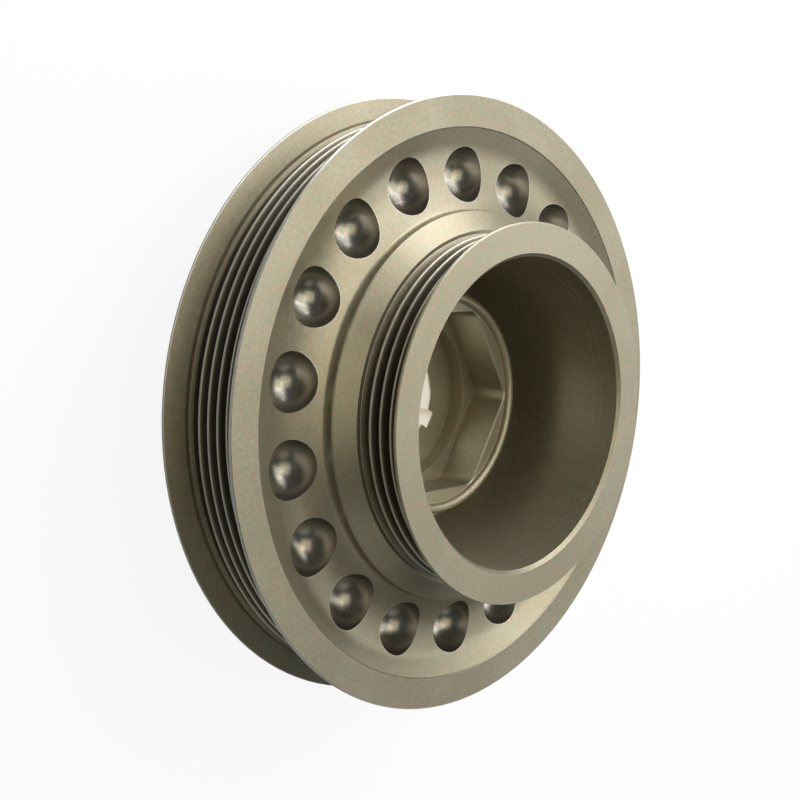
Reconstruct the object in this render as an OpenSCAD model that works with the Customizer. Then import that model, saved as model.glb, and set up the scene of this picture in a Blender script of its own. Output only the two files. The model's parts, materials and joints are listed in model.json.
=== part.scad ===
// One-piece billet crankshaft pulley with two V-ribbed belt tracks.
// Z runs along the crankshaft: 0 is the end of the rear snout, the front of the engine is +Z.
// +Y is the side of the crankshaft key.

/* [Belt grooves] */
// Distance from one rib to the next
rib_pitch = 3.56; // [3.4:0.02:3.7]
// Angle between the two walls of a groove
groove_angle = 40; // [36:1:42]
// Width of the land on top of a rib, before its corners are rounded
rib_land = 0.6; // [0.5:0.05:0.8]
// Radius of the rib corners
rib_corner_r = 0.2; // [0.1:0.05:0.25]
// Radius at the bottom of a groove
groove_root_r = 0.5; // [0.4:0.05:0.6]

/* [Main belt track] */
// Number of grooves
main_grooves = 5; // [4:1:8]
// Diameter over the rib tips
main_tip_d = 158; // [154:1:166]
// Height of the belt flanges above the rib tips
main_flange_h = 6; // [4:0.5:8]
// Thickness of the rear flange at the rib tips
rear_flange_t = 2.4; // [2.2:0.1:4]
// Thickness of the front flange at the rib tips
front_flange_t = 4.1; // [3.5:0.1:5]
// Thickness of both flanges at their outer edge
flange_edge_t = 0.8; // [0.7:0.1:1.6]
// Land between a flange and the first rib position
main_lip_w = 1.25; // [1.2:0.05:1.6]
// Extra width of the two end grooves on their flange side
main_end_gap = 0.35; // [0:0.05:0.4]

/* [Accessory belt track] */
// Number of grooves
small_grooves = 4; // [3:1:6]
// Diameter over the rib tips
small_tip_d = 96; // [94:1:100]
// Height of the front ring above the rib tips
small_flange_h = 3.4; // [2.5:0.1:4.5]
// Thickness of the front ring at its outer edge
small_edge_t = 0.7; // [0.6:0.1:1]
// Thickness of the front ring at the rib tips
small_flange_t = 1.6; // [1.4:0.1:2.4]
// Height of the collar cone above the rib tips
small_lip_h = 0.9; // [0.7:0.1:1.2]

/* [Collar and web] */
// Diameter of the collar behind the accessory track
collar_d = 107.8; // [106:0.2:110]
// Angle of the collar cone from the face
collar_angle = 36; // [30:1:40]
// Height of the collar edge above the main flange face
collar_rise = 1.9; // [1.5:0.1:2.5]
// Radius where the collar meets the dished web
collar_fillet_r = 1.6; // [1:0.1:2]
// Width of the flat face of the main flange
flange_face_w = 8.8; // [8:0.2:10]
// Depth of the dished web below the flange face
dish_depth = 3.95; // [3.5:0.05:5]
// Width of the slope from the flange face down to the dish
dish_slope_w = 5.5; // [4:0.1:7]
// Distance from the foot of that slope in to the deepest point of the dish
dish_low_in = 5.2; // [4:0.1:7]
// Radius of the dished web in section
dish_arc_r = 22; // [20:1:26]
// Radius of the blend between the slope and the dish
dish_blend_r = 10; // [4:1:14]
// Thickness of the web at its deepest point
web_t = 11.2; // [10.5:0.1:13]

/* [Lightening pockets] */
// Number of ball-end pockets
pocket_n = 18; // [12:1:22]
// Diameter of a pocket
pocket_d = 15.4; // [12:0.2:16]
// Distance of the circle of pockets inside the deepest circle of the dish
pocket_in = 1.9; // [1:0.1:3]

/* [Cup] */
// Diameter of the cup inside the accessory track
cup_d = 84.6; // [82:0.2:84.8]
// Wall of the cup behind the web
cup_wall = 3.7; // [3:0.1:4]
// Radius at the bottom of the cup
cup_fillet_r = 3; // [1:0.5:4]
// Chamfer at the mouth of the cup
cup_chamfer = 0.9; // [0.5:0.1:1.2]

/* [Hub] */
// Diameter of the boss in the cup
boss_d = 63.6; // [62:0.2:66]
// Width of the round lip on the edge of the boss
boss_lip_w = 2.9; // [1.6:0.1:3]
// Distance across the flats of the holding socket
socket_af = 50.4; // [49.6:0.1:50.5]
// Depth of the holding socket below the face of the boss
socket_depth = 12.1; // [10:0.1:14]
// Radius in the corners of the holding socket
socket_corner_r = 4.4; // [4.2:0.1:6]
// Chamfer on the rim of the holding socket
socket_chamfer = 0.3; // [0.2:0.05:0.35]
// Diameter of the recess for the bolt washer
washer_d = 47.2; // [44:0.2:49.4]
// Depth of the washer seat below the floor of the socket
washer_depth = 5.1; // [4:0.1:6]
// Diameter of the crankshaft bore
bore_d = 29; // [26:0.5:32]
// Width of the keyway
key_w = 5; // [4:0.5:6]
// Depth of the keyway outside the bore
key_depth = 2.4; // [1.8:0.1:2.8]

/* [Rear] */
// Diameter of the rear snout
snout_d = 43; // [42:1:46]
// Length of the rear snout
snout_len = 16.5; // [10:0.5:22]
// Thickness of the hub disc under the cup
hub_disc_t = 6.5; // [5.5:0.5:9]
// Thickness of the hub under the washer seat
seat_t = 6.6; // [5:0.1:10]
// Distance of the hub's rear face behind the rim
hub_behind = 7.2; // [5:0.1:9]
// Thickness of the rim under the grooves
rim_wall = 4.4; // [4:0.1:6]
// Radius in the corners of the rear pocket
rear_fillet_r = 4; // [2:0.5:5]

/* [Edges] */
// Small chamfer on the outer edges
edge_break = 0.3; // [0.2:0.05:0.35]
// Chamfer on the rear edges
rear_chamfer = 0.8; // [0.5:0.1:1]
// Width of the turned relief beside the flanges
relief_w = 0.4; // [0.3:0.05:0.5]
// Depth of the turned relief beside the flanges
relief_depth = 0.5; // [0.3:0.05:0.7]

/* [Hidden] */
$fn = 96;
// Overlap of a cutter past the face that it opens
cut = 1;
// The same for the socket chamfer, which stays clear of the boss lip, and its start inside the socket
skim = 0.02;
dip = 0.3;

// Grooves
wall_angle = groove_angle/2;
groove_half_w = (rib_pitch - rib_land)/2;
root_rise = groove_root_r*(cos(wall_angle) - (1 - sin(wall_angle))*tan(wall_angle));
groove_depth = (groove_half_w - root_rise)/tan(wall_angle);

// Radii
main_tip_r = main_tip_d/2;
main_flange_r = main_tip_r + main_flange_h;
small_tip_r = small_tip_d/2;
small_flange_r = small_tip_r + small_flange_h;
step_r = small_tip_r + small_lip_h;
collar_r = collar_d/2;
cup_r = cup_d/2;
cup_outer_r = cup_r + cup_wall;
rim_inner_r = main_tip_r - groove_depth - rim_wall;
boss_r = boss_d/2;
lip_r = boss_lip_w/2;
bore_r = bore_d/2;
snout_r = snout_d/2;
washer_r = washer_d/2;
socket_r = socket_af/2;
corner_centre = (socket_r - socket_corner_r)/cos(30);
half_flat = corner_centre*sin(30);
dish_top_r = main_flange_r - flange_face_w;
dish_edge_r = dish_top_r - dish_slope_w;
dish_low_r = dish_edge_r - dish_low_in;
pocket_circle_r = dish_low_r - pocket_in;

// Heights of the hub, from the snout end up to the face of the boss
hub_rear_z = snout_len;
cup_floor_z = hub_rear_z + hub_disc_t;
washer_z = hub_rear_z + seat_t;
socket_floor_z = washer_z + washer_depth;
boss_face_z = socket_floor_z + socket_depth;

// Heights of the rim and of the main grooves
rim_rear_z = hub_rear_z + hub_behind;
rib_start_z = rim_rear_z + rear_flange_t + main_lip_w;
rib_end_z = rib_start_z + main_grooves*rib_pitch;
rim_front_z = rib_end_z + main_lip_w + front_flange_t;

// Heights of the collar, the accessory grooves and the front ring
collar_z = rim_front_z + collar_rise;
step_z = collar_z + (collar_r - step_r)*tan(collar_angle);
small_end_z = step_z + small_grooves*rib_pitch;
front_z = small_end_z + small_flange_t;

// Dished web: an arc about dish_low_r
dish_low_z = rim_front_z - dish_depth;
dish_centre_z = dish_low_z + dish_arc_r;
web_rear_z = dish_low_z - web_t;

// Slope outside the dish, and the blend that touches both
dish_end_tilt = asin((dish_edge_r - dish_low_r)/dish_arc_r);
dish_end_z = dish_centre_z - dish_arc_r*cos(dish_end_tilt);
slope_tilt = atan2(rim_front_z - edge_break - dish_end_z, dish_slope_w);
blend_reach = dish_arc_r - dish_blend_r;
blend_offset = dish_arc_r*cos(slope_tilt - dish_end_tilt) - dish_blend_r;
blend_tilt = slope_tilt - acos(blend_offset/blend_reach);
blend_centre_r = dish_low_r + blend_reach*sin(blend_tilt);
blend_centre_z = dish_centre_z - blend_reach*cos(blend_tilt);

// Fillet at the collar, which touches the dish too
fillet_centre_r = collar_r + collar_fillet_r;
fillet_reach = dish_arc_r - collar_fillet_r;
fillet_centre_z = dish_centre_z - sqrt(pow(fillet_reach, 2) - pow(dish_low_r - fillet_centre_r, 2));
dish_start_angle = -90 - asin((dish_low_r - fillet_centre_r)/fillet_reach);

// Points of an arc from angle a0 to angle a1
function arc(cr, cz, r, a0, a1, n = 6) =
    [for (i = [0:n]) let (a = a0 + (a1 - a0)*i/n) [cr + r*cos(a), cz + r*sin(a)]];

// One groove from the rib below it to the rib above it, widened by low and high on its two sides
function groove(tip_r, z, low = 0, high = 0) =
    let (
        corner_r = tip_r - rib_corner_r,
        corner_z = groove_half_w + rib_corner_r*tan(45 - wall_angle/2),
        root_r = tip_r - groove_depth + groove_root_r,
        turn = 90 - wall_angle
    )
    concat(
        arc(corner_r, z - corner_z - low, rib_corner_r, 0, turn, 3),
        arc(root_r, z - low, groove_root_r, 180 + turn, 180, 4),
        arc(root_r, z + high, groove_root_r, 180, 180 - turn, 4),
        arc(corner_r, z + corner_z + high, rib_corner_r, -turn, 0, 3)
    );

// A row of grooves whose first half pitch starts at z
function grooves(tip_r, z, n, low = 0, high = 0) =
    [for (i = [0:n - 1])
        for (p = groove(tip_r, z + (i + 0.5)*rib_pitch, i == 0 ? low : 0, i == n - 1 ? high : 0)) p];

// Half section from the snout to the outer edge of the rear flange
function rear_outline() = concat(
    [[bore_r + rear_chamfer, 0], [snout_r - rear_chamfer, 0], [snout_r, rear_chamfer]],
    arc(snout_r + rear_fillet_r, hub_rear_z - rear_fillet_r, rear_fillet_r, 180, 90, 8),
    [[cup_outer_r - rear_chamfer, hub_rear_z], [cup_outer_r, hub_rear_z + rear_chamfer]],
    arc(cup_outer_r + rear_fillet_r, web_rear_z - rear_fillet_r, rear_fillet_r, 180, 90, 8),
    arc(rim_inner_r - rear_fillet_r, web_rear_z - rear_fillet_r, rear_fillet_r, 90, 0, 8),
    [[rim_inner_r, rim_rear_z + rear_chamfer], [rim_inner_r + rear_chamfer, rim_rear_z]]
);

// Rear flange, main grooves and front flange
function main_track() = concat(
    [
        [main_flange_r - edge_break, rim_rear_z],
        [main_flange_r, rim_rear_z + edge_break],
        [main_flange_r, rim_rear_z + flange_edge_t],
        [main_tip_r + relief_depth, rib_start_z - main_lip_w],
        [main_tip_r - relief_depth, rib_start_z - main_lip_w],
        [main_tip_r - relief_depth, rib_start_z - main_lip_w + relief_w],
        [main_tip_r, rib_start_z - main_lip_w + relief_w]
    ],
    grooves(main_tip_r, rib_start_z, main_grooves, main_end_gap, main_end_gap),
    [
        [main_tip_r, rib_end_z + main_lip_w - relief_w],
        [main_tip_r - relief_depth, rib_end_z + main_lip_w - relief_w],
        [main_tip_r - relief_depth, rib_end_z + main_lip_w],
        [main_tip_r + relief_depth, rib_end_z + main_lip_w],
        [main_flange_r, rim_front_z - flange_edge_t],
        [main_flange_r, rim_front_z - edge_break],
        [main_flange_r - edge_break, rim_front_z]
    ]
);

// Flange face, dished web and collar
function web_front() = concat(
    [[dish_top_r + edge_break, rim_front_z], [dish_top_r, rim_front_z - edge_break]],
    arc(blend_centre_r, blend_centre_z, dish_blend_r, slope_tilt - 90, blend_tilt - 90, 4),
    arc(dish_low_r, dish_centre_z, dish_arc_r, blend_tilt - 90, dish_start_angle, 24),
    arc(fillet_centre_r, fillet_centre_z, collar_fillet_r, dish_start_angle, -180, 6),
    [[collar_r, collar_z - edge_break], [collar_r - edge_break, collar_z]]
);

// Collar cone, accessory grooves and front ring
function small_track() = concat(
    [
        [step_r, step_z],
        [small_tip_r - relief_depth, step_z],
        [small_tip_r - relief_depth, step_z + relief_w]
    ],
    grooves(small_tip_r, step_z, small_grooves),
    [
        [small_flange_r, front_z - small_edge_t],
        [small_flange_r, front_z - edge_break],
        [small_flange_r - edge_break, front_z]
    ]
);

// Cup, boss, washer recess and bore
function front_inside() = concat(
    [[cup_r + cup_chamfer, front_z], [cup_r, front_z - cup_chamfer]],
    arc(cup_r - cup_fillet_r, cup_floor_z + cup_fillet_r, cup_fillet_r, 0, -90, 6),
    arc(boss_r + cup_fillet_r, cup_floor_z + cup_fillet_r, cup_fillet_r, -90, -180, 6),
    arc(boss_r - lip_r, boss_face_z, lip_r, 0, 180, 14),
    [
        [washer_r, boss_face_z],
        [washer_r, washer_z],
        [bore_r + edge_break, washer_z],
        [bore_r, washer_z - edge_break],
        [bore_r, rear_chamfer]
    ]
);

// The turned blank before pockets, socket and keyway
module turned_blank() {
    rotate_extrude($fn = 180)
        polygon(concat(rear_outline(), main_track(), web_front(), small_track(), front_inside()));
}

// Ring of ball-end pockets in the dished web, one of them in line with the key
module pockets() {
    for (i = [0:pocket_n - 1])
        rotate([0, 0, 90 + i*360/pocket_n])
            translate([pocket_circle_r, 0, dish_low_z])
                sphere(d = pocket_d);
}

// Outline of the socket with its round corners
function socket_outline() =
    [for (a = [0:60:300])
        for (p = arc(corner_centre*cos(a), corner_centre*sin(a), socket_corner_r, a - 30, a + 30, 8)) p];

// Hexagonal socket for the tool that holds the pulley, with the chamfer of its rim
module holding_socket() {
    scale_low = (socket_r - dip)/socket_r;
    scale_high = (socket_r + socket_chamfer + skim)/socket_r;
    translate([0, 0, socket_floor_z]) {
        linear_extrude(socket_depth + cut)
            polygon([for (i = [0:5], side = [-1, 1])
                let (a = 30 + 60*i)
                [socket_r*cos(a) - side*half_flat*sin(a), socket_r*sin(a) + side*half_flat*cos(a)]]);
        for (i = [0:5])
            rotate([0, 0, 60*i])
                translate([corner_centre, 0, 0])
                    cylinder(r = socket_corner_r, h = socket_depth + cut);
        translate([0, 0, socket_depth - socket_chamfer - dip])
            linear_extrude(socket_chamfer + skim + dip, scale = scale_high/scale_low)
                scale(scale_low)
                    polygon(socket_outline());
    }
}

// Keyway through the bore, on the +Y side
module keyway() {
    translate([-key_w/2, 0, -cut])
        cube([key_w, bore_r + key_depth, washer_z + 2*cut]);
}

module pulley() {
    color("#8f8672")
        difference() {
            turned_blank();
            pockets();
            holding_socket();
            keyway();
        }
}

pulley();
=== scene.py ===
import json
import math

import bpy
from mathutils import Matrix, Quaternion, Vector


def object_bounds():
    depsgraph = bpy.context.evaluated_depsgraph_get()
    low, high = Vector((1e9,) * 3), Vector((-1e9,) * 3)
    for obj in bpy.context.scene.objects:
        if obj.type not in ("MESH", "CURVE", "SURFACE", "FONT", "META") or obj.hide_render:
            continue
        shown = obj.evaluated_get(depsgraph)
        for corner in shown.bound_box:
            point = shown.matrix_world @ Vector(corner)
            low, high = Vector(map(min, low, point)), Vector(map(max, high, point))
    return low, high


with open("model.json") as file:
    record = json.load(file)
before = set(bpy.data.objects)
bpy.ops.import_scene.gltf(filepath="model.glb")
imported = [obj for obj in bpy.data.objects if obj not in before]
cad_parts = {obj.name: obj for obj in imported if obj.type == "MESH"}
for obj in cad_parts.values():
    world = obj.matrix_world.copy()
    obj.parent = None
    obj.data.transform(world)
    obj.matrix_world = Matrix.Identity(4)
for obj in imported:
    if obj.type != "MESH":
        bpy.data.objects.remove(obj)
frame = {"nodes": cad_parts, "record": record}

MM = 0.001

# The pulley
pulley = frame["nodes"]["pulley"]
cad_low, cad_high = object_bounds()
FRONT_Z = cad_high.z
RIM_R = 85.0*MM

# Ball-end pockets in the dished web, the first of them towards the key
POCKET_COUNT = 18
POCKET_R = 7.7*MM
POCKET_CIRCLE_R = 63.6*MM
POCKET_CENTRE_Z = FRONT_Z - 25.3*MM
POCKET_MARGIN = 0.07*MM

# Bore and keyway, with the margins by which their bare metal is drawn past them
mounts = {m["name"]: m for m in frame["record"]["mounts"]}
BORE_R = mounts["crank_bore"]["dims"]["r_mm"]*MM
BORE_MARGIN = 0.35*MM
KEY_HALF_W = 2.5*MM
KEY_SIDE_MARGIN = 0.04*MM
KEY_OUTER_R = BORE_R + 2.4*MM
KEY_OUTER_MARGIN = 0.5*MM

# Belt tracks: radius over the rib tips, and where the tips start and end
TRACKS = (
    (79.0*MM, FRONT_Z - 44.2*MM, FRONT_Z - 26.9*MM),
    (48.0*MM, FRONT_Z - 14.6*MM, FRONT_Z - 2.2*MM),
)
GROOVE_DEPTH = 3.4*MM
# Depths below the tips at which the grooves' painted shade, with some darker oxide, starts and
# is full
GROOVE_DARK_STARTS = 0.25*MM
GROOVE_DARK_FULL = 0.9*MM

# Cup, with faint tool rings near its mouth
CUP_R = 42.3*MM
CUP_WALL_MARGIN = 0.3*MM
SCRATCH_DEPTHS = (6.3*MM, 8.6*MM)
SCRATCH_W = 0.12*MM
# The noise that breaks the rings up: its scale, and its values where they are gone and whole
SCRATCH_NOISE = 2.2
SCRATCH_NOISE_RANGE = (0.42, 0.62)

# Wear and a painted highlight on sharp edges: radius of the rounded normal, and how far that
# normal agrees with the flat one where they are full and where they end
EDGE_R = 0.22*MM
EDGE_AGREEMENT = (0.90, 0.995)
EDGE_WEAR_AND_GLINT = 0.75

# Wear and a painted highlight on the rib tips and the flange rims: how far from them they are
# full and end
TIP_WEAR_AND_GLINT = 0.9
TIP_WEAR_GLINT_FULL = 0.12*MM
TIP_WEAR_GLINT_ENDS = 0.30*MM
RIM_WEAR_GLINT_FULL = 0.10*MM
RIM_WEAR_GLINT_ENDS = 0.35*MM

# Camera, as the photograph was taken: degrees, and millimetres of lens
CAMERA_AT = Vector((101.0*MM, -281.1*MM, FRONT_Z + 230.1*MM))
CAMERA_AZIMUTH = 19.58
CAMERA_ELEVATION = 42.86
CAMERA_ROLL = 98.30
CAMERA_LENS = 63.14
CAMERA_SENSOR = 36
CAMERA_CLIP = (0.01, 50)

# Colours; the hues tint the coat and aren't seen alone
ANODISED = (0.37, 0.335, 0.25, 1)
ANODISED_DARK = (0.335, 0.30, 0.215, 1)
# Pockets: cut metal, darker than bright aluminium to paint the shade that fills them
POLISHED_AND_SHADED = (0.36, 0.34, 0.305, 1)
# The grooves' colour is painted shade, with some darker oxide
GROOVE_SHADE_COLOR = (0.10, 0.09, 0.068, 1)
GROOVE_SHADE_SHARE = 0.85
BARE = (0.84, 0.79, 0.68, 1)
# Pale colour of rubbed-off edges, which also paints highlights on edges and rib tips; the cup's
# tool rings use it too
WORN_AND_GLINT = (0.84, 0.81, 0.74, 1)
REDDISH = (1.10, 0.97, 0.93, 1)
GREENISH = (0.91, 1.03, 0.99, 1)

# Finish: the coat is partly matt, and cut and worn metal isn't
COAT_METALLIC = 0.65
CUT_METALLIC = 0.92
COAT_ROUGHNESS = (0.34, 0.42)
POCKET_ROUGHNESS = 0.25
BARE_ROUGHNESS = 0.28

# Noises, in cells per metre, and the part of each one's values that is used
FINE_MARKS = 3200.0
BROAD_MARKS = 600.0
GRAIN = 2600.0
HUE = 1400.0
TINT = 38.0
MARKS_RANGE = (0.3, 0.7)
GRAIN_RANGE = (0.3, 0.7)
HUE_RANGE = (0.4, 0.6)
TINT_RANGE = (0.35, 0.65)

# Brightness of the grain's speckles and of the turned streaks
SPECKLES = (0.88, 1.12)
STREAKS = (0.95, 1.05)

# Bump: its full height, and the shares of the coat's marks and of the grain
BUMP_HEIGHT = 0.008*MM
COAT_MARKS_SHARE = 0.35
GRAIN_SHARE = 0.6

# The marks change slowly round the axis: radius of the noise's own turn, in metres
MARK_DRIFT = 0.0006
# The marks in the pockets are coarser: their width is divided by this
POCKET_MARK_SCALE = 0.6

# The floor: what the camera sees of it
FLOOR_R = 8.0
FLOOR_VERTICES = 96
FLOOR_COLOR = (0.10, 0.10, 0.10, 1)
FLOOR_LIFT = 0.90

# What the metal mirrors of it: FAR_SIDE points behind the pulley, and the floor brightens
# along it between the two places of FAR_SIDE_RANGE
MIRRORED_NEAR = 0.20
MIRRORED_FAR = 1.0
FAR_SIDE = (-0.52, 0.85, 0.0)
FAR_SIDE_RANGE = (-0.1, 0.4)
BELOW_BORE_EDGE = 4*MM

# The studio's own light, slightly blue
AMBIENT_COLOR = (0.80, 0.92, 1.0, 1)
AMBIENT_LEVEL = 0.09
WHITE = (1, 1, 1, 1)

# Softboxes: name, direction from the pulley, distance, width, height, brightness, colour
SOFTBOX_AIM = Vector((0, 0, 45*MM))
SOFTBOXES = (
    ("low", (-0.95, -0.17, 0.26), 0.6, 0.50, 0.35, 3.4, (1.0, 1.0, 1.0)),
    ("key", (-0.74, -0.06, 0.67), 0.6, 0.70, 0.50, 1.8, (1.0, 1.0, 1.0)),
    ("left_back", (-0.57, 0.48, 0.67), 0.6, 0.45, 0.45, 0.85, (0.96, 0.97, 1.0)),
    ("back", (-0.19, 0.72, 0.67), 0.6, 0.45, 0.45, 0.85, (0.96, 0.97, 1.0)),
    ("top", (-0.26, 0.0, 0.97), 0.6, 0.60, 0.40, 1.5, (1.0, 0.96, 0.82)),
    ("front", (0.14, -0.40, 0.90), 1.0, 0.70, 0.70, 1.1, (1.0, 0.92, 0.72)),
    ("right", (0.77, 0.28, 0.57), 1.0, 0.60, 0.60, 0.4, (1.0, 0.98, 0.85)),
)


class Graph:
    """Adds nodes to one shader tree and joins them."""

    def __init__(self, tree):
        self.tree = tree
        tree.nodes.clear()

    def put(self, socket, value):
        if isinstance(value, bpy.types.NodeSocket):
            self.tree.links.new(value, socket)
        else:
            socket.default_value = value

    def node(self, kind, inputs=None, **settings):
        made = self.tree.nodes.new(kind)
        for name, value in settings.items():
            setattr(made, name, value)
        for key, value in (inputs or {}).items():
            self.put(made.inputs[key], value)
        return made

    def math(self, operation, *values):
        inputs = dict(enumerate(values))
        return self.node("ShaderNodeMath", inputs, operation=operation).outputs[0]

    def product(self, first, *others):
        total = first
        for other in others:
            total = self.math("MULTIPLY", total, other)
        return total

    def largest(self, first, *others):
        total = first
        for other in others:
            total = self.math("MAXIMUM", total, other)
        return total

    def length(self, *parts):
        """Square root of the sum of the squares."""
        total = 0.0
        for part in parts:
            total = self.math("ADD", total, self.math("MULTIPLY", part, part))
        return self.math("SQRT", total)

    def distance(self, a, b):
        """Between two numbers, without its sign."""
        return self.math("ABSOLUTE", self.math("SUBTRACT", a, b))

    def between(self, value, low, high):
        """1 where value lies between the two."""
        above = self.math("GREATER_THAN", value, low)
        return self.product(above, self.math("LESS_THAN", value, high))

    def vector(self, x, y, z):
        return self.node("ShaderNodeCombineXYZ", {0: x, 1: y, 2: z}).outputs[0]

    def split(self, vector):
        """The x, y and z of a vector."""
        return self.node("ShaderNodeSeparateXYZ", {0: vector}).outputs

    def scaled(self, vector, scale):
        inputs = {0: vector, "Scale": scale}
        return self.node("ShaderNodeVectorMath", inputs, operation="SCALE").outputs[0]

    def dot(self, a, b):
        made = self.node("ShaderNodeVectorMath", {0: a, 1: b}, operation="DOT_PRODUCT")
        return made.outputs["Value"]

    def tinted(self, color, tint):
        made = self.node("ShaderNodeVectorMath", {0: color, 1: tint}, operation="MULTIPLY")
        return made.outputs[0]

    def mix(self, factor, a, b):
        """Between two numbers."""
        made = self.node("ShaderNodeMix", {0: factor, 2: a, 3: b}, data_type="FLOAT")
        return made.outputs[0]

    def mix_color(self, factor, a, b):
        made = self.node("ShaderNodeMix", {0: factor, 6: a, 7: b}, data_type="RGBA")
        return made.outputs[2]

    def ramp(self, value, low, high, to_low=0.0, to_high=1.0):
        """Maps value from low..high to to_low..to_high, smoothly and clamped."""
        inputs = {0: value, 1: low, 2: high, 3: to_low, 4: to_high}
        made = self.node("ShaderNodeMapRange", inputs, interpolation_type="SMOOTHSTEP")
        return made.outputs[0]

    def noise(self, vector, scale, detail=2.0, w=None):
        inputs = {"Vector": vector, "Scale": scale, "Detail": detail}
        if w is None:
            return self.node("ShaderNodeTexNoise", inputs, noise_dimensions="3D").outputs[0]
        inputs["W"] = w
        return self.node("ShaderNodeTexNoise", inputs, noise_dimensions="4D").outputs[0]


def pocket_place(graph, x, y, z, r):
    """Distance from the axis of the nearest pocket, and 1 inside its ball."""
    step = 2*math.pi/POCKET_COUNT
    angle = graph.math("SUBTRACT", graph.math("ARCTAN2", y, x), math.pi/2)
    whole = graph.product(graph.math("ROUND", graph.math("DIVIDE", angle, step)), step)
    rest = graph.math("SUBTRACT", angle, whole)
    along = graph.product(r, graph.math("COSINE", rest))
    out = graph.math("SUBTRACT", along, POCKET_CIRCLE_R)
    side = graph.product(r, graph.math("SINE", rest))
    across = graph.length(out, side)
    away = graph.length(across, graph.math("SUBTRACT", z, POCKET_CENTRE_Z))
    return across, graph.math("LESS_THAN", away, POCKET_R + POCKET_MARGIN)


def bare_mask(graph, x, y, r):
    """1 in the bore and the keyway, which are bare metal."""
    bore = graph.math("LESS_THAN", r, BORE_R + BORE_MARGIN)
    beside = graph.math("LESS_THAN", graph.math("ABSOLUTE", x), KEY_HALF_W + KEY_SIDE_MARGIN)
    side = graph.math("GREATER_THAN", y, 0.0)
    reach = graph.math("LESS_THAN", r, KEY_OUTER_R + KEY_OUTER_MARGIN)
    return graph.largest(bore, graph.product(beside, side, reach))


def tip_wear_and_glint_mask(graph, z, r):
    """1 on the rib tips and the flange rims, where the colour is rubbed off and a painted
    highlight lightens them.
    """
    total = graph.ramp(r, RIM_R - RIM_WEAR_GLINT_ENDS, RIM_R - RIM_WEAR_GLINT_FULL)
    for tip_r, start, end in TRACKS:
        away = graph.distance(r, tip_r)
        near = graph.ramp(away, TIP_WEAR_GLINT_FULL, TIP_WEAR_GLINT_ENDS, 1.0, 0.0)
        total = graph.largest(total, graph.product(near, graph.between(z, start, end)))
    return total


def groove_shade_mask(graph, z, r):
    """1 in the belt grooves, darkened there by painted shade and some darker oxide."""
    total = 0.0
    for tip_r, start, end in TRACKS:
        below_tip = graph.ramp(r, tip_r - GROOVE_DARK_FULL, tip_r - GROOVE_DARK_STARTS, 1.0, 0.0)
        above_wall = graph.math("GREATER_THAN", r, tip_r - GROOVE_DEPTH)
        inside = graph.product(below_tip, above_wall, graph.between(z, start, end))
        total = graph.largest(total, inside)
    return total


def scratch_mask(graph, z, r, around):
    """Faint rings that a tool left in the cup near its mouth, broken up around the wall."""
    on_wall = graph.math("LESS_THAN", graph.distance(r, CUP_R), CUP_WALL_MARGIN)
    total = 0.0
    for depth in SCRATCH_DEPTHS:
        away = graph.distance(z, FRONT_Z - depth)
        total = graph.largest(total, graph.ramp(away, 0.0, SCRATCH_W, 1.0, 0.0))
    broken = graph.ramp(graph.noise(around, SCRATCH_NOISE), *SCRATCH_NOISE_RANGE)
    return graph.product(total, on_wall, broken)


def wear_and_glint_mask(graph, z, r):
    """Wear and a painted highlight where the rounded normal leaves the flat one, and on rib tips
    and flange rims.
    """
    rounded = graph.node("ShaderNodeBevel", {"Radius": EDGE_R}, samples=6).outputs[0]
    flat = graph.node("ShaderNodeNewGeometry").outputs["Normal"]
    sharp = graph.ramp(graph.dot(rounded, flat), *EDGE_AGREEMENT, EDGE_WEAR_AND_GLINT, 0.0)
    return graph.largest(sharp, graph.product(tip_wear_and_glint_mask(graph, z, r), TIP_WEAR_AND_GLINT))


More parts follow.
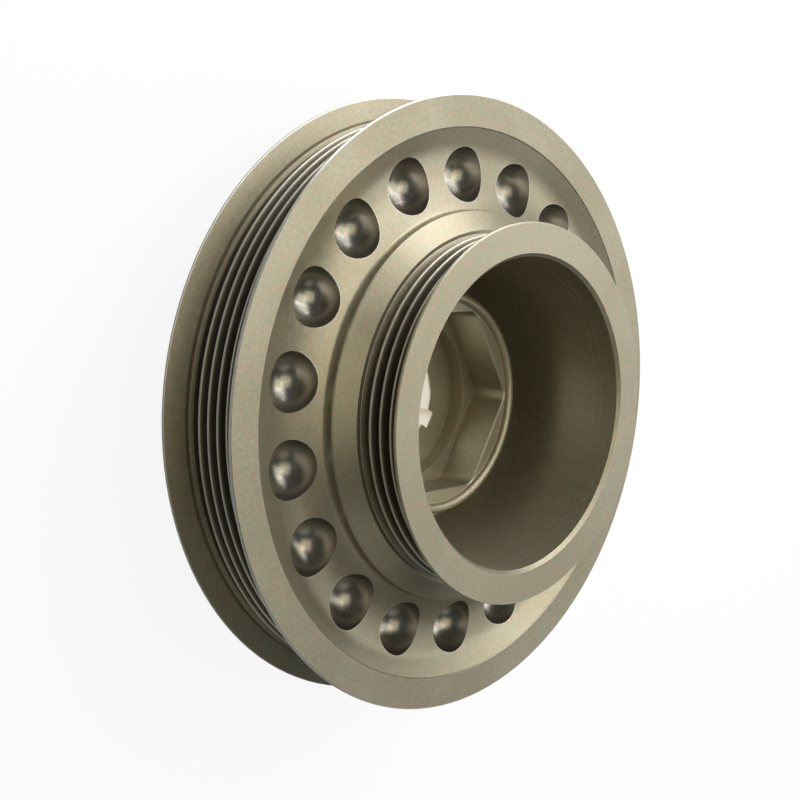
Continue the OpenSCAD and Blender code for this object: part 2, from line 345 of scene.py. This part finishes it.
def anodised_aluminium():
    material = bpy.data.materials.new("anodised_aluminium")
    material.use_nodes = True
    graph = Graph(material.node_tree)
    place = graph.node("ShaderNodeTexCoord").outputs["Object"]
    x, y, z = graph.split(place)
    r = graph.length(x, y)
    around = graph.vector(graph.math("DIVIDE", x, r), graph.math("DIVIDE", y, r), 0.0)

    # Turning marks run round the axis, and round each pocket's own axis inside it
    across, in_pocket = pocket_place(graph, x, y, z, r)
    mark_r = graph.mix(in_pocket, r, graph.product(across, POCKET_MARK_SCALE))
    slow_x, slow_y, _ = graph.split(graph.scaled(around, MARK_DRIFT))
    turned = graph.vector(mark_r, z, slow_x)
    fine_marks = graph.noise(turned, FINE_MARKS, 1.0, graph.product(slow_y, FINE_MARKS))
    broad_marks = graph.noise(turned, BROAD_MARKS, 2.0, graph.product(slow_y, BROAD_MARKS))

    # Grain of the blasted and anodised surface, and slow changes of tint
    grain = graph.noise(place, GRAIN, 2.0)
    tint = graph.noise(place, TINT, 3.0)

    wear_and_glint = wear_and_glint_mask(graph, z, r)
    bare = bare_mask(graph, x, y, r)
    scratch = scratch_mask(graph, z, r, around)

    color = graph.mix_color(graph.ramp(tint, *TINT_RANGE), ANODISED_DARK, ANODISED)
    # Painted shade in the belt grooves, with some darker oxide
    in_groove_shade = graph.product(groove_shade_mask(graph, z, r), GROOVE_SHADE_SHARE)
    color = graph.mix_color(in_groove_shade, color, GROOVE_SHADE_COLOR)
    # Pockets: smoother cut metal, with painted shade in its darker colour
    color = graph.mix_color(in_pocket, color, POLISHED_AND_SHADED)
    speckle = graph.ramp(grain, *GRAIN_RANGE, *SPECKLES)
    streaks = graph.ramp(broad_marks, *MARKS_RANGE, *STREAKS)
    color = graph.scaled(color, graph.product(speckle, streaks))
    turn = graph.ramp(graph.noise(place, HUE), *HUE_RANGE)
    color = graph.tinted(color, graph.mix_color(turn, REDDISH, GREENISH))
    # Worn edges with painted highlights on them and on the rib tips, and the cup's tool rings
    color = graph.mix_color(graph.largest(wear_and_glint, scratch), color, WORN_AND_GLINT)
    color = graph.mix_color(bare, color, BARE)

    rough = graph.ramp(broad_marks, *MARKS_RANGE, *COAT_ROUGHNESS)
    rough = graph.mix(in_pocket, rough, POCKET_ROUGHNESS)
    rough = graph.mix(bare, rough, BARE_ROUGHNESS)

    metal = graph.mix(graph.largest(bare, wear_and_glint, in_pocket), COAT_METALLIC, CUT_METALLIC)

    marks = graph.mix(in_pocket, graph.product(fine_marks, COAT_MARKS_SHARE), fine_marks)
    height = graph.math("ADD", marks, graph.product(grain, GRAIN_SHARE))
    bump = graph.node("ShaderNodeBump", {
        "Strength": 1.0, "Distance": BUMP_HEIGHT, "Height": height}).outputs[0]

    shader = graph.node("ShaderNodeBsdfPrincipled", {
        "Base Color": color, "Metallic": metal, "Roughness": rough, "Normal": bump})
    graph.node("ShaderNodeOutputMaterial", {"Surface": shader.outputs[0]})
    return material


def floor_material():
    """Matt, and lifted to white for the camera, so that a soft shadow stays.

    The metal mirrors a floor that is bright behind the pulley and below its bore, and dim
    in front of it.
    """
    material = bpy.data.materials.new("pale_floor")
    material.use_nodes = True
    graph = Graph(material.node_tree)
    matt = graph.node("ShaderNodeBsdfDiffuse", {"Color": FLOOR_COLOR})
    path = graph.node("ShaderNodeLightPath").outputs
    place = graph.node("ShaderNodeTexCoord").outputs["Object"]
    x, y, _ = graph.split(place)
    behind = graph.dot(place, FAR_SIDE)
    shown = graph.ramp(behind, *FAR_SIDE_RANGE, MIRRORED_NEAR, MIRRORED_FAR)
    below_bore = graph.ramp(graph.length(x, y), BORE_R, BORE_R + BELOW_BORE_EDGE, 1.0, 0.0)
    mirrors = graph.largest(path["Is Glossy Ray"], path["Is Transmission Ray"])
    mirrored = graph.product(mirrors, graph.largest(shown, below_bore))
    lift = graph.largest(graph.product(path["Is Camera Ray"], FLOOR_LIFT), mirrored)
    glow = graph.node("ShaderNodeEmission", {"Color": WHITE, "Strength": lift})
    both = graph.node("ShaderNodeAddShader", {0: matt.outputs[0], 1: glow.outputs[0]})
    graph.node("ShaderNodeOutputMaterial", {"Surface": both.outputs[0]})
    return material


def add_floor():
    bpy.ops.mesh.primitive_circle_add(
        vertices=FLOOR_VERTICES, radius=FLOOR_R, fill_type="NGON", location=(0, 0, cad_low.z))
    floor = bpy.context.object
    floor.name = "floor"
    floor.data.materials.append(floor_material())


def add_world():
    """White for the camera, dim for everything else."""
    world = bpy.data.worlds.new("studio")
    world.use_nodes = True
    graph = Graph(world.node_tree)
    light = graph.node(
        "ShaderNodeBackground", {"Color": AMBIENT_COLOR, "Strength": AMBIENT_LEVEL})
    white = graph.node("ShaderNodeBackground", {"Color": WHITE, "Strength": 1.0})
    eye = graph.node("ShaderNodeLightPath").outputs["Is Camera Ray"]
    shown = graph.node(
        "ShaderNodeMixShader", {0: eye, 1: light.outputs[0], 2: white.outputs[0]})
    graph.node("ShaderNodeOutputWorld", {"Surface": shown.outputs[0]})
    bpy.context.scene.world = world


def add_softbox(name, towards, distance, width, height, brightness, color):
    """A rectangular area lamp that faces the pulley; at brightness 1 it looks white."""
    lamp = bpy.data.lights.new(name, "AREA")
    lamp.shape = "RECTANGLE"
    lamp.size, lamp.size_y = width, height
    lamp.energy = brightness*math.pi*width*height
    lamp.color = color
    holder = bpy.data.objects.new(name, lamp)
    outward = Vector(towards).normalized()
    holder.location = SOFTBOX_AIM + outward*distance
    holder.rotation_mode = "QUATERNION"
    holder.rotation_quaternion = (-outward).to_track_quat("-Z", "Y")
    bpy.context.scene.collection.objects.link(holder)


def add_camera():
    azimuth, elevation = math.radians(CAMERA_AZIMUTH), math.radians(CAMERA_ELEVATION)
    back = Vector((
        math.sin(azimuth)*math.cos(elevation),
        -math.cos(azimuth)*math.cos(elevation),
        math.sin(elevation)))
    lens = bpy.data.cameras.new("camera")
    lens.lens = CAMERA_LENS
    lens.sensor_width = CAMERA_SENSOR
    lens.clip_start, lens.clip_end = CAMERA_CLIP
    camera = bpy.data.objects.new("camera", lens)
    camera.location = CAMERA_AT
    camera.rotation_mode = "QUATERNION"
    roll = Quaternion((0, 0, 1), math.radians(CAMERA_ROLL))
    camera.rotation_quaternion = (-back).to_track_quat("-Z", "Y") @ roll
    bpy.context.scene.collection.objects.link(camera)
    bpy.context.scene.camera = camera


add_camera()
add_floor()
add_world()
for softbox in SOFTBOXES:
    add_softbox(*softbox)
pulley.data.materials.clear()
pulley.data.materials.append(anodised_aluminium())
bpy.context.scene.view_settings.view_transform = "Standard"
